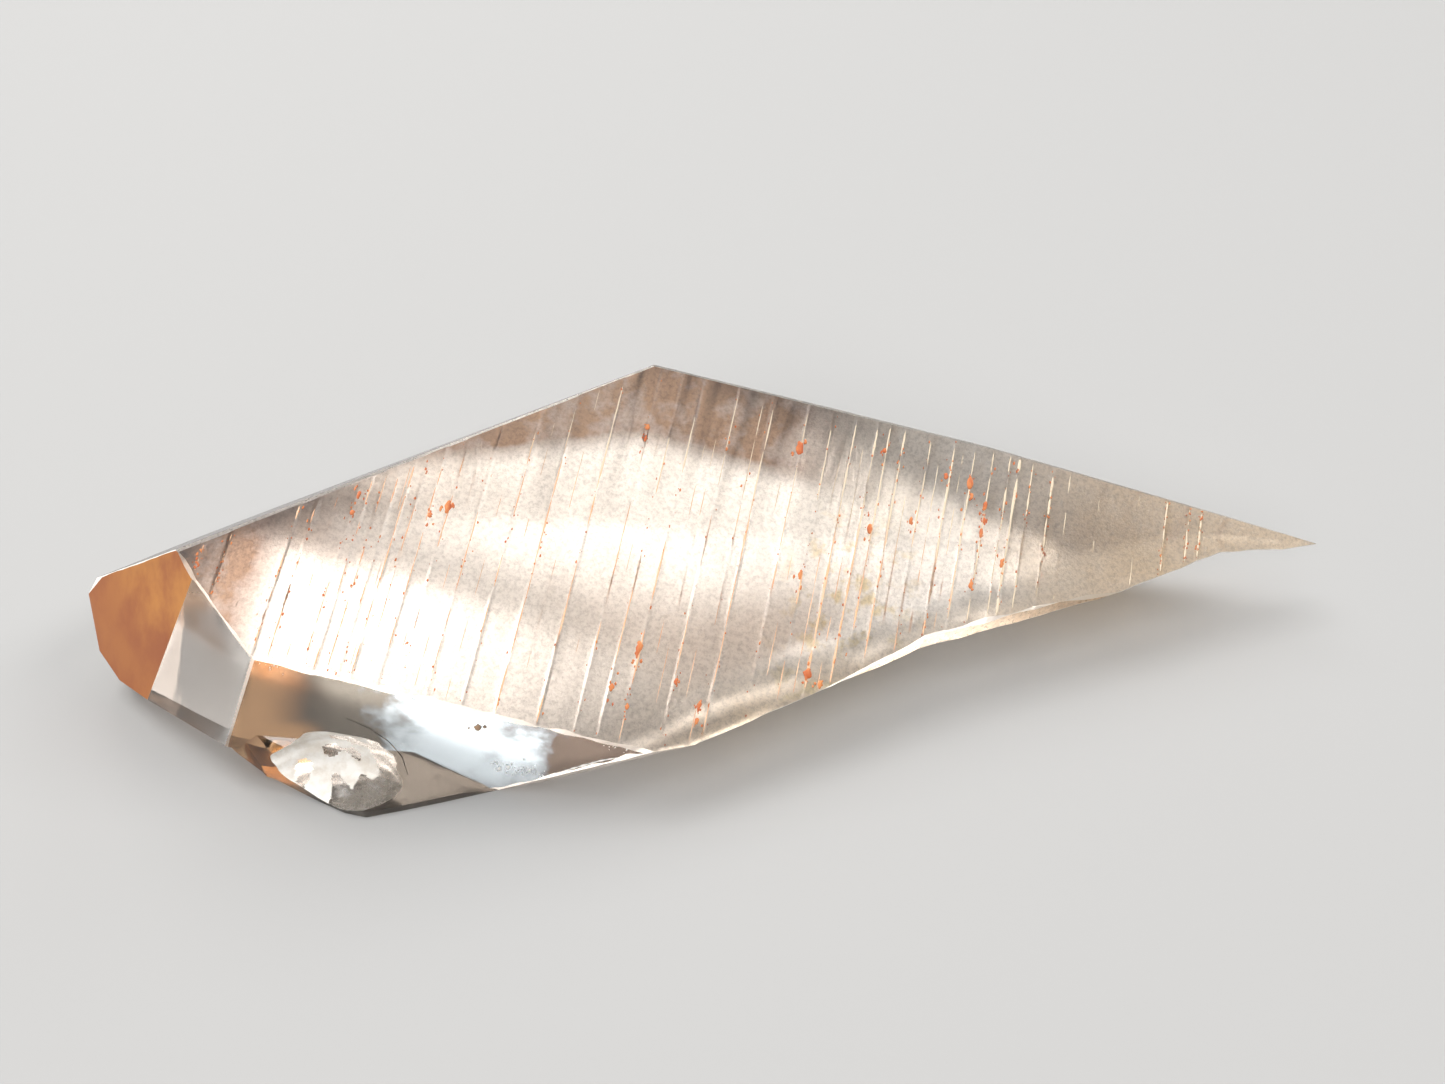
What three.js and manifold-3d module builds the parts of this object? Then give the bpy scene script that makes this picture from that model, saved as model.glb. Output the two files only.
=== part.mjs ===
// A lemurian quartz crystal: one clear, long, flattened crystal with a sharp point, lying on
// the broken facet under its thick end.
//
// The crystal is worked out in its own frame and then laid down. X runs along its c axis,
// towards the point. Round that axis every face looks out at an angle of its own, measured
// from Y (up the slope of the broad face) towards Z (out of the broad face). The top corner
// of the broad face is at the origin. Lengths are in mm and angles in degrees.

import * as THREE from 'three';
import Module from 'manifold-3d';
import { ConvexGeometry } from 'three/addons/geometries/ConvexGeometry.js';
import { mergeVertices } from 'three/addons/utils/BufferGeometryUtils.js';

const wasm = await Module();
wasm.setup();

// ---- how it lies ----
const DIP = 14.8; // the point hangs this much below the level of the thick end
const ROLL = 28.9; // the broad face is turned this much towards the front
const CORNER_HEIGHT = 13.1; // the top corner of the broad face above the table

// ---- flat faces: the way each looks, how far it stands off the axis level with the top
// corner, and how much further off for each mm towards the point ----
const FRONT_LOOKS = 145;
const BROAD_WIDTH = 18.85; // from the top corner down to the front prism face
const FRONT_OFF = BROAD_WIDTH * Math.cos(THREE.MathUtils.degToRad(180 - FRONT_LOOKS));
const FLAT_FACES = {
  front: { looks: FRONT_LOOKS, off: FRONT_OFF, slope: 0 }, // the clear prism face in front
  upperEnd: { looks: 23.7, off: 0.08, slope: 0.722 }, // leans back over the thick end
  upperWear: { looks: 62, off: 0, slope: 0.373 }, // the worn edge above it
  lowerEnd: { looks: 139.6, off: 23.15, slope: 0.616 }, // its clear twin down the slope
  rusty: { looks: 137.9, off: 25.02, slope: 0.738 }, // the stained face at the far left
  frontStrip: { looks: 178, off: 20.55, slope: -0.427 }, // where the undercut begins
  underLeft: { looks: -84.9, off: 46.5, slope: 1.63 }, // small breaks that keep the left
  underCorner: { looks: -123.7, off: 25.75, slope: 0.302 }, // and front edges of the thick
  underFront: { looks: -145.6, off: 20.4, slope: -0.073 }, // end off the table
};

// ---- bent faces: the way each looks, and its distance off the axis at places along it ----
const POINT_AT = 36.1; // the point, along the axis
const BENT_FACES = {
  bevel: { looks: 30, profile: [[0, -0.05], [18, 0.36], [POINT_AT, 0.08]] },
  chamfer: { looks: 150, profile: [[11, 12.6], [16, 8.85], [22.7, 5.75], [26, 4.6]] },
  // the long break that undercuts the front edge and runs out to the point
  undercut: {
    looks: 210,
    profile: [
      [-2.2, 21.7], [3.7, 17.35], [6.2, 15.5], [11.4, 12.2], [16.8, 9.35], [22.7, 6.5],
      [27.8, 3.45], [30.9, 1.65], [32.5, 1.15], [34.3, 0.7], [POINT_AT, 0.05],
    ],
  },
};

// ---- the broad face and the steep back face, both ruled across by growth lines ----
const BROAD_LOOKS = 90;
const BROAD_LINES = [
  -17.9, -16.9, -14.4, -13.7, -12.1, -11.6, -11.05, -10.5, -9.95, -9.4, -8.7, -7.85, -6.5,
  -4.85, -3.3, -1.35, 0.4, 1.5, 2.5, 4.4, 5.7, 6.25, 8.05, 9.4, 10.6, 11.75, 12.4, 13.2, 14.6,
  15.9, 17.0, 18.0, 18.95, 19.45, 20.2, 21.35, 27.75, 29.0, 29.7,
];
const BACK_LOOKS = -30;
const BACK_LINES = [
  -20.5, -17.6, -15.2, -13.9, -11.3, -9.8, -8.0, -5.9, -4.1, -3.2, -0.6, 1.9, 3.3, 5.2, 7.4,
  9.6, 10.5, 12.8, 15.1, 17.9, 19.3, 22.0, 24.6, 26.3, 29.2, 31.4,
];
const BACK_OFF = 1.07;
const BACK_BOW = 0.0016; // how fast the back face falls away from its middle
const BACK_MIDDLE = 16;
const TAPER_FROM = 33; // from here the back face runs in to the point
const TAPER = 0.06;
const LINE_WIDTH = 0.3;
const LINE_DEPTH = 0.12;
const LEDGE = 0.05; // how much neighbouring stretches differ in height

// ---- the chipped foot under the front face, in the lying frame, below the top corner ----
const FOOT_PLAN = [
  [-16.7, -17.4], [-14.2, -18.45], [-12.8, -18.95], [-11.7, -19.1], [-10.2, -18.6],
  [-8.4, -17.95], [-5.8, -16.95],
];
const FOOT_LIP = 0.4; // the height of its rim, which fades out at both ends
const FOOT_CREST = [[-18.65, -17.05, 2.05], [-17.3, -16.9, 3.2], [-9.6, -16.9, 2.4]];
const FOOT_BACK = -15.5;
const CHIP_CENTRE = [-13.1, -18.5, 2.15];
const CHIP_RADII = [3.6, 2.1, 1.95];

// ---- cutting blocks, all larger than the crystal ----
const BLOCK = 90;
const REACH = 120;
const BELOW = 1; // how far the foot is drawn down before the table cuts it

const radians = THREE.MathUtils.degToRad;

// Makes a closed three.js geometry into a solid for cutting and joining.
function solid(geometry) {
  const bare = geometry.clone();
  bare.deleteAttribute('normal');
  bare.deleteAttribute('uv');
  const merged = mergeVertices(bare);
  return new wasm.Manifold(new wasm.Mesh({
    numProp: 3,
    vertProperties: new Float32Array(merged.attributes.position.array),
    triVerts: new Uint32Array(merged.index.array),
  }));
}

// Turns a finished solid back into a geometry.
function geometryOf(body) {
  const mesh = body.getMesh();
  const geometry = new THREE.BufferGeometry();
  geometry.setAttribute('position', new THREE.BufferAttribute(mesh.vertProperties, 3));
  geometry.setIndex(new THREE.BufferAttribute(mesh.triVerts, 1));
  return geometry;
}

// The point REACH mm beyond `end` on the line that comes from `before`.
function drawnOut(before, end) {
  const step = REACH / Math.abs(end[0] - before[0]);
  return [end[0] + (end[0] - before[0]) * step, end[1] + (end[1] - before[1]) * step];
}

// All that lies outside one face. Its profile gives how far it stands off the axis at places
// along it, as [along, off] pairs, and its end stretches run on past the crystal.
function outside(looks, profile) {
  const last = profile.length - 1;
  const start = drawnOut(profile[1], profile[0]);
  const finish = drawnOut(profile[last - 1], profile[last]);
  const shape = new THREE.Shape();
  shape.moveTo(...start);
  [...profile, finish].forEach((point) => shape.lineTo(...point));
  shape.lineTo(finish[0], 4 * REACH);
  shape.lineTo(start[0], 4 * REACH);
  const slab = new THREE.ExtrudeGeometry(shape, { depth: 2 * REACH, bevelEnabled: false });
  slab.translate(0, 0, -REACH);
  const axis = new THREE.Vector3(1, 0, 0);
  const out = new THREE.Vector3(0, Math.cos(radians(looks)), Math.sin(radians(looks)));
  const across = new THREE.Vector3().crossVectors(axis, out);
  slab.applyMatrix4(new THREE.Matrix4().makeBasis(axis, out, across));
  return solid(slab);
}

// The profile of a flat face.
function leaning({ off, slope }) {
  return [[-1, off - slope], [1, off + slope]];
}

// The profile of a prism face crossed by growth lines: a nick at each line, and stretches of
// slightly unlike heights between them. `off` gives the plain face's height along the axis.
function ruled(lines, off) {
  const margin = 6;
  const height = (i) => LEDGE * Math.sin(2.4 * i);
  const nicks = lines.flatMap((line, i) => {
    const depth = LINE_DEPTH * (0.75 + 0.25 * Math.cos(1.7 * i));
    return [
      [line - LINE_WIDTH / 2, off(line) + height(i)],
      [line, off(line) - depth],
      [line + LINE_WIDTH / 2, off(line) + height(i + 1)],
    ];
  });
  const first = lines[0] - margin;
  const last = lines[lines.length - 1] + margin;
  return [[first, off(first)], ...nicks, [last, off(last)]];
}

// How far the back face stands off the axis: a slow bow that runs in to the point.
function backOff(along) {
  const bow = BACK_BOW * (along - BACK_MIDDLE) ** 2;
  return BACK_OFF - bow - TAPER * Math.max(0, along - TAPER_FROM);
}

// ---- the crystal, as grown and broken: what is left inside all its faces ----
function grownCrystal() {
  const cuts = [
    outside(BROAD_LOOKS, ruled(BROAD_LINES, () => 0)),
    outside(BACK_LOOKS, ruled(BACK_LINES, backOff)),
    ...Object.values(FLAT_FACES).map((face) => outside(face.looks, leaning(face))),
    ...Object.values(BENT_FACES).map((face) => outside(face.looks, face.profile)),
  ];
  const block = solid(new THREE.BoxGeometry(BLOCK, BLOCK, BLOCK));
  return cuts.reduce((rest, cut) => rest.subtract(cut), block);
}

// Rolled about its axis, then dipped, with the top corner above the origin.
function laidDown(body) {
  const lay = new THREE.Matrix4().makeTranslation(0, 0, CORNER_HEIGHT);
  lay.multiply(new THREE.Matrix4().makeRotationY(radians(DIP)));
  lay.multiply(new THREE.Matrix4().makeRotationX(radians(ROLL)));
  return solid(geometryOf(body).applyMatrix4(lay));
}

// The chipped foot: a low ridge that stands out from the front face at the table.
function foot() {
  const rim = FOOT_PLAN.flatMap(([x, y], i) => {
    const lip = i === 0 || i === FOOT_PLAN.length - 1 ? 0 : FOOT_LIP;
    return [new THREE.Vector3(x, y, -BELOW), new THREE.Vector3(x, y, lip)];
  });
  const crest = FOOT_CREST.flatMap(([x, y, z]) => [
    new THREE.Vector3(x, y, z),
    new THREE.Vector3(x, FOOT_BACK, z),
    new THREE.Vector3(x, FOOT_BACK, -BELOW),
  ]);
  return solid(new ConvexGeometry([...rim, ...crest]));
}

// The shell-shaped chip scooped out of the foot.
function chip() {
  const scoop = new THREE.SphereGeometry(1, 40, 24);
  return solid(scoop.scale(...CHIP_RADII).translate(...CHIP_CENTRE));
}

// All that is below the table. It leaves the flat facet that the crystal rests on.
function underTable() {
  return solid(new THREE.BoxGeometry(REACH, REACH, REACH).translate(0, 0, -REACH / 2));
}

const body = laidDown(grownCrystal()).add(foot()).subtract(chip()).subtract(underTable());
const geometry = geometryOf(body);
geometry.computeVertexNormals();

const quartz = new THREE.MeshStandardMaterial({ color: 0xd9c3b2, roughness: 0.35, metalness: 0 });
const crystal = new THREE.Mesh(geometry, quartz);
crystal.name = 'crystal';

// The origin is on the table, under the middle of the crystal.
const bounds = new THREE.Box3().setFromObject(crystal);
const middle = bounds.getCenter(new THREE.Vector3());
crystal.position.set(-middle.x, -middle.y, 0);

const part = new THREE.Group();
part.name = 'lemurian_quartz';
part.add(crystal);

export default part;
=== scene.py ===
"""A lemurian quartz crystal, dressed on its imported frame.

Lengths are in millimetres and angles in degrees while the crystal is worked out, in one of
two frames. In the grown frame X (u) runs along the c axis towards the point, Y (v) up the
slope of the broad face and Z (w) out of it, with the broad face's top corner at the origin.
In the lying frame that corner is above the origin and the table is at Z = 0. The finished
meshes are in metres, in the frame's own place.
"""

import math

import bmesh
import bpy
import numpy as np
from bpy.props import FloatProperty, FloatVectorProperty, IntProperty, PointerProperty
from bpy.types import Operator, Panel, PropertyGroup
from mathutils import Euler, Matrix, Vector


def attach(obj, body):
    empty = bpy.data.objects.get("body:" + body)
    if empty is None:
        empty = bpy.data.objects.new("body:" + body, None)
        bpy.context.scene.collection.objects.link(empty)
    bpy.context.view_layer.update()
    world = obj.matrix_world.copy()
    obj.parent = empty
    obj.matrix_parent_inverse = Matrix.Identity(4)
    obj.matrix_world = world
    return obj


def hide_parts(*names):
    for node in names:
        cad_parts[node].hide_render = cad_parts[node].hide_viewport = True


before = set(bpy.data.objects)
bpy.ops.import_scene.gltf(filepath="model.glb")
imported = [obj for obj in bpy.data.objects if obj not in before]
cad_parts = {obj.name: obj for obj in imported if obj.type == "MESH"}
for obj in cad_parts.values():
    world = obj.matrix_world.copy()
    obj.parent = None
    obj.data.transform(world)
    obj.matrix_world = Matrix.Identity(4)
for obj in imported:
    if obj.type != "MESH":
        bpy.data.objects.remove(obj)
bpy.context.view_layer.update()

bl_info = {
    "name": "Lemurian Quartz Crystal",
    "version": (1, 0, 0),
    "blender": (4, 5, 0),
    "location": "3D View > Sidebar > Quartz",
    "description": "Grows a flattened lemurian quartz crystal and sets it on a pale table",
    "category": "Add Mesh",
}

MM = 0.001  # one millimetre, in metres

# ---- the faces, as grown and broken ----
DIP = 14.8  # the point hangs this much below the level of the thick end
ROLL = 28.9  # the broad face is turned this much towards the front
CORNER_HEIGHT = 13.1  # the top corner of the broad face above the table
LYING_MIDDLE = (3.825, -8.994)  # the middle of the lying crystal's outline
POINT_AT = 36.1  # where the crystal ends along its axis
BROAD_WIDTH = 18.85  # the broad face from its top corner to the front face
FRONT_OFF = BROAD_WIDTH * math.cos(math.radians(35))
BELOW = 1.0  # how far everything is drawn down before the table cuts it

# Each flat face: the way it looks round the c axis, how far it stands off the axis level
# with the top corner, how much further off for each mm towards the point, and columns.
FLAT_FACES = {
    "front": (145, FRONT_OFF, 0, 26),
    "upper_end": (23.7, 0.08, 0.722, 16),
    "upper_wear": (62, 0, 0.373, 2),
    "lower_end": (139.6, 23.15, 0.616, 16),
    "rusty": (137.9, 25.02, 0.738, 18),
    "front_strip": (178, 20.55, -0.427, 4),
    "under_left": (-84.9, 46.5, 1.63, 4),
    "under_corner": (-123.7, 25.75, 0.302, 6),
    "under_front": (-145.6, 20.4, -0.073, 6),
    "corner_nick": (74.05, 38.3, 2.06, 2),
}
# Each bent face: the way it looks, its distance off the axis at places along it, columns.
BENT_FACES = {
    "bevel": (30, [(0, -0.05), (18, 0.36), (POINT_AT, 0.08)], 2),
    "chamfer": (150, [(11, 12.6), (16, 8.85), (22.7, 5.75), (26, 4.6)], 6),
    "undercut": (
        210,
        [
            (-2.2, 21.7), (3.7, 17.35), (6.2, 15.5), (11.4, 12.2), (16.8, 9.35),
            (22.7, 6.5), (27.8, 3.45), (30.9, 1.65), (32.5, 1.15), (34.3, 0.7),
            (POINT_AT, 0.05),
        ],
        16,
    ),
}
BROAD_LINES = np.array([
    -17.9, -16.9, -14.4, -13.7, -12.1, -11.6, -11.05, -10.5, -9.95, -9.4, -8.7, -7.85,
    -6.5, -4.85, -3.3, -1.35, 0.4, 1.5, 2.5, 4.4, 5.7, 6.25, 8.05, 9.4, 10.6, 11.75, 12.4,
    13.2, 14.6, 15.9, 17.0, 18.0, 18.95, 19.45, 20.2, 21.35, 27.75, 29.0, 29.7,
])
# Fainter lines between them, which only clay shows, and how deep they count as.
FAINT_DEPTH = 0.12
FAINT_LINES = np.array([
    -18.6, -15.7, -12.9, -10.1, -8.1, -7.1, -5.6, -4.1, -2.4, -0.4, 1.0, 3.3, 3.8, 5.1, 6.9,
    7.4, 8.7, 10.1, 11.2, 13.8, 15.2, 16.4, 22.3, 24.0, 26.2,
])
BACK_LINES = np.array([
    -20.5, -17.6, -15.2, -13.9, -11.3, -9.8, -8.0, -5.9, -4.1, -3.2, -0.6, 1.9, 3.3, 5.2,
    7.4, 9.6, 10.5, 12.8, 15.1, 17.9, 19.3, 22.0, 24.6, 26.3, 29.2, 31.4,
])
# Each ruled face: the way it looks, its columns, its growth lines and their seed.
RULED_FACES = {"broad": (90, 46, BROAD_LINES, 3), "back": (-30, 26, BACK_LINES, 4)}
BACK_OFF, BACK_MIDDLE = 1.07, 16  # the back face's greatest distance off, and where
BACK_BOW = 0.0016  # how fast it falls away from there
TAPER_FROM, TAPER = 33, 0.06  # from here it runs in to the point, so much for each mm
LEDGE, LEDGE_TURN = 0.018, 2.4  # how high stretches between lines stand, and its swing
STATIONS, CLOSEST_STATIONS = (-26.0, 37.0), 0.02  # where sections begin and end, least gap
HALVINGS = 48  # how often the stretch in which a face ends is halved
# Below these, the sine of a turn counts as parallel, a face as gone and two points as one.
PARALLEL, NARROWEST, MERGE = 1e-9, 1e-7, 3e-5
FACE_TURN, GRAIN_TURN = 16, 60  # edges that turn by more degrees than this are sharp
ACROSS_LINE = np.array([-1, -0.66, -0.33, 0, 0.33, 0.66, 1])  # stations, in line widths
LINE_IN_SECTION, LINE_IN_RELIEF = 0.3, 0.8  # shares of a growth line's depth
SHALLOWEST, SHALLOW_BIAS = 0.35, 1.3  # the shallowest line's depth, and the pull to it
LINE_MEAN, LINE_SWING, LINE_MOST = 0.62, 0.75, 1.3  # how its depth swells along the line
LINE_APART = 3.7  # how far apart the swells of neighbouring lines are read
RELIEF_FADE = 0.7  # how far in from a face's edge its relief is whole
# The lengths of the waves on ruled, glassy and broken faces, and their shares where they
# aren't whole: how far waves push the rings of a break, and how much the rings add.
SLOW_WAVE, SHORT_WAVE, SHORT_SHARE, GLASSY_WAVE = 5.5, 1.4, 0.3, 6.0
RING_WAVE, RING_PUSH, RING_SHARE, SHELL_WAVE, SWELL_WAVE = 7.0, 0.8, 0.35, 4.0, 5.0

# The glassy faces: the seed of their slow waves and their share of the waviness.
GLASSY_FACES = {
    "front": (21, 1.2), "lower_end": (23, 2.0), "rusty": (25, 1.6), "upper_end": (27, 1.5),
}
# The broken faces: where the blow fell (along the axis, across the face), the gap between
# its rings, the seed of the waves and their share of the full height.
BROKEN_FACES = {
    "undercut": (2.0, 6.0, 3.4, 31, 1.0), "under_corner": (-20, 2.0, 1.7, 33, 0.7),
    "under_front": (-10, 2.0, 1.7, 35, 0.7), "under_left": (-24, 2.0, 1.7, 37, 0.7),
}

# Edges that are worn: each pair of faces meets in a narrow strip, whose depth swings by this
# share over waves of this length.
WEAR_SWING, WEAR_WAVE, WEAR_SEED = 0.75, 1.6, 50
WORN_EDGES = [
    ("broad", "front"), ("broad", "lower_end"), ("broad", "rusty"), ("broad", "chamfer"),
    ("broad", "undercut"), ("rusty", "front"), ("lower_end", "front"),
    ("chamfer", "undercut"), ("front", "undercut"), ("front", "front_strip"),
    ("front_strip", "undercut"), ("back", "bevel"), ("back", "upper_end"),
    ("back", "undercut"), ("rusty", "upper_end"), ("front", "chamfer"),
]

# The worn edges that are bruised white.
BRUISED_EDGES = [
    ("rusty", "upper_end"), ("back", "bevel"), ("back", "upper_end"), ("broad", "undercut"),
    ("chamfer", "undercut"),
]

# Larger hematite grains on the broad face: along the axis, up the slope, half size.
LARGE_GRAINS = [
    (0.3, -3.3, 0.2), (0.35, -3.9, 0.15), (8.0, -2.3, 0.26), (12.3, -1.2, 0.16),
    (12.3, -5.5, 0.2), (14.3, -4.5, 0.15), (15.7, -1.7, 0.2), (17.0, -1.7, 0.26),
    (17.2, -2.4, 0.18), (18.0, -2.7, 0.22), (18.05, -3.5, 0.2), (18.0, -4.2, 0.2),
    (19.3, -5.5, 0.18), (17.9, -7.0, 0.2), (-12.0, -10.3, 0.18), (-12.05, -11.2, 0.16),
    (-7.9, -9.8, 0.26), (-8.6, -10.4, 0.18), (2.4, -14.2, 0.26), (1.6, -16.3, 0.2),
    (2.5, -17.0, 0.16), (4.5, -15.3, 0.2), (5.8, -16.2, 0.18), (5.85, -16.9, 0.14),
    (10.6, -13.4, 0.28), (11.3, -13.8, 0.22), (9.3, -8.7, 0.2),
]

# On the clear front face, milky flecks, a healed thread, a curved crack and dark inclusions:
# along the axis, along the face's own line, half size.
MILKY_FLECKS = [
    (-2.5, 14.2, 0.12), (-2.1, 14.0, 0.15), (-1.6, 14.05, 0.1), (-1.1, 13.9, 0.13),
    (2.4, 10.9, 0.1), (2.8, 10.8, 0.1), (-13.5, 10.9, 0.1), (-0.4, 14.3, 0.08),
]
MILKY_THREAD = [(0.1, 13.7), (0.9, 13.0), (1.9, 12.15), (2.8, 11.55)]
CRACK = [(-9.9, 13.25), (-8.8, 13.55), (-7.8, 14.15), (-7.05, 15.0), (-6.6, 16.1)]
DARK_INCLUSIONS = [(-3.9, 11.8, 0.22), (-3.6, 11.65, 0.12), (-4.3, 12.0, 0.08)]

# Clay, in mm: how far a piece strays from its line, how far it keeps from the line's ends,
# how deep it is sunk, half its thickness, half the length of the shortest, half the width
# of the narrowest, and how much deep lines widen it.
CLAY_STRAY, CLAY_MARGIN, CLAY_SUNK, CLAY_THICK = 0.012, 0.15, 0.012, 0.022
CLAY_SHORTEST, CLAY_NARROWEST, CLAY_WIDENS = 0.06, 0.015, 0.05
CLAY_END_GAP = 0.05  # what a piece leaves to the face's own ends
# The ranges of chance in where a piece lies, how long it is and how wide.
CLAY_PLACES, CLAY_LENGTHS, CLAY_WIDTHS = (0.2, 0.8), (0.5, 1.3), (0.3, 1.0)
# Towards the point, between these stations, pieces grow this much longer and wider.
CLAY_GROWS, CLAY_LONGER, CLAY_WIDER = (5, 14), 0.4, 0.5
# The chance that a piece is there at all: in any line, more in deep ones, more at the point.
CLAY_CHANCE, DEEP_CHANCE, POINT_CHANCE = 0.3, 0.75, 0.25
CLAY_PIECES, FAINT_PIECES = 6, 8  # in each line, and in each faint line
GRAIN_LENGTHS, GRAIN_WIDTHS = (0.7, 1.5), (0.45, 0.8)  # in sizes
GRAIN_THIN, GRAIN_THICK = 0.02, 0.12  # thickness of any grain in mm, and more by size
GRAIN_STRAY, FINE_SIZES = 0.1, (0.02, 0.075)  # of the fine grains, in mm
CLAY_SHAPE, GRAIN_SHAPE = (13, 6, 0.35), (5, 7, 0.45)  # rings, sides and unevenness
SWELL_LENGTH, SWELL_SIZE, SWELL_APART = 3.1, 1.3, 20  # where a piece's swells are read
TABLE_GAP = 0.02  # what clay and grains keep off the table
THREAD_RINGS, THREAD_SIDES = 40, 8
# How deep a thread is sunk, in radii, how near t comes to its ends, its unevenness, and the
# rate, length and seed of the waves that make it.
THREAD_SUNK, THREAD_END, THREAD_UNEVEN = 0.4, 0.995, 0.35
THREAD_RATE, THREAD_WAVE, THREAD_SEED = 4, 1.0, 95
CRACK_RADIUS, HEALED_RADIUS = 0.028, 0.05
# Small grains round the larger ones: how many, their spread along the axis and across the
# face in mm, and the range of their sizes.
NEAR_LARGE, NEAR_FLECKS = (5, (0.16, 0.45), (0.2, 0.5)), (12, (0.3, 0.2), (0.15, 0.6))

# ---- the chipped foot, in the lying frame ----
FOOT_PLAN = [  # its rim on the table, from left to right
    (-16.7, -17.4), (-14.2, -18.45), (-12.8, -18.95), (-11.7, -19.1), (-10.2, -18.6),
    (-8.4, -17.95), (-5.8, -16.95),
]
FOOT_LIP = 0.4  # how high the rim's upright edge stands
FOOT_CREST = [(-18.65, -17.05, 2.05), (-17.3, -16.9, 3.2), (-9.6, -16.9, 2.4)]
CREST_SHARE = [0, 0.2, 1.0]  # where those three points come along the rim
FOOT_BACK = -15.5  # how far back the foot runs on inside the crystal
FOOT_BULGE, FOOT_RIPPLE = 0.12, 0.025
# The rate of its ripples, how far waves push them, and the length and seed of those waves.
FOOT_RATE, FOOT_PUSH, FOOT_WAVE, FOOT_SEED = 9, 1.5, 3.0, 61
FOOT_ROUND = 0.12  # the share of the rim in which it rises at either end
FOOT_GRID, CHIP_GRID = (90, 22), (80, 128)
UNDER_TABLE = ((-60, -60, -20), (60, 60, 0))  # what the table cuts away
CHIP_CENTRE = np.array([-13.1, -18.5, 2.15])
CHIP_RADII = np.array([3.6, 2.1, 1.95])
CHIP_STRUCK = np.array([0.15, -0.35, -0.95])  # where the blow fell, on the unit ball
CHIP_UNEVEN, CHIP_RIPPLE, RIPPLE_RATE = 0.045, 0.007, 26  # shares of the radius, radians
RIPPLE_FROM, RIPPLE_WHOLE, RIPPLE_PUSH = 0.3, 0.9, 3  # on the unit ball, and in radians
CHIP_RATE, CHIP_WAVE, CHIP_SEED = 2, 1.6, 71

# ---- the studio ----
# Each lamp: the way it lies, round from +X and up in degrees, and its width in m.
LAMPS = {
    "back": (122, 45, 0.3), "front": (252, 40, 0.25), "top": (225, 72, 0.35),
    "side": (70, 35, 0.25), "crest": (150, 60, 0.25), "low": (92, 18, 0.2),
    "corner": (84, 62, 0.25), "right": (10, 45, 0.25),
}
LAMP_AWAY = 0.5  # every lamp's distance, in m
TABLE_BOX = ((-3, -3, -0.020002), (3, 3, -2e-6))  # in m, a hair under the crystal
LENS, SENSOR, CLIP = 32.39, 36, (0.001, 20)
CAMERA_AT, CAMERA_LOOKS = (4.585, -43.456, 52.03), (-0.069, 0.716, -0.695)


# ---- properties ----


def measure(name, description, default, low, high, **kind):
    """A number that the user may change."""
    return FloatProperty(
        name=name, description=description, default=default, min=low, max=high, **kind
    )


def factor(name, description, default):
    """A share from 0 to 1."""
    return measure(name, description, default, 0, 1, subtype="FACTOR")


def power(name, description, default):
    """A lamp's power, in watts."""
    return measure(name, description, default, 0, 100, subtype="POWER", unit="POWER")


def colour(name, description, default):
    """A colour, in linear light."""
    return FloatVectorProperty(
        name=name, description=description, default=default, subtype="COLOR", size=3,
        min=0, max=1,
    )


class QuartzHabit(PropertyGroup):
    """Sizes of the crystal's finer shapes, in mm."""

    station_gap: measure("Station gap", "Distance between plain sections", 0.42, 0.2, 2)
    line_width: measure("Line width", "Half the width of a growth line", 0.13, 0.03, 0.4)
    line_depth: measure("Line depth", "Depth of the deepest growth line", 0.04, 0, 0.3)
    edge_wear: measure("Edge wear", "How much of each edge is bruised away", 0.045, 0, 0.2)
    waviness: measure("Waviness", "Height of the prism faces' slow waves", 0.02, 0, 0.2)
    break_waves: measure("Shell waves", "Height of the broken faces' waves", 0.07, 0, 0.4)
    fine_grains: IntProperty(
        name="Fine grains",
        description="How many fine hematite grains lie on the broad face",
        default=700, min=0, max=3000,
    )
    seed: IntProperty(name="Seed", description="Seed of the small variations", default=7)


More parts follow.
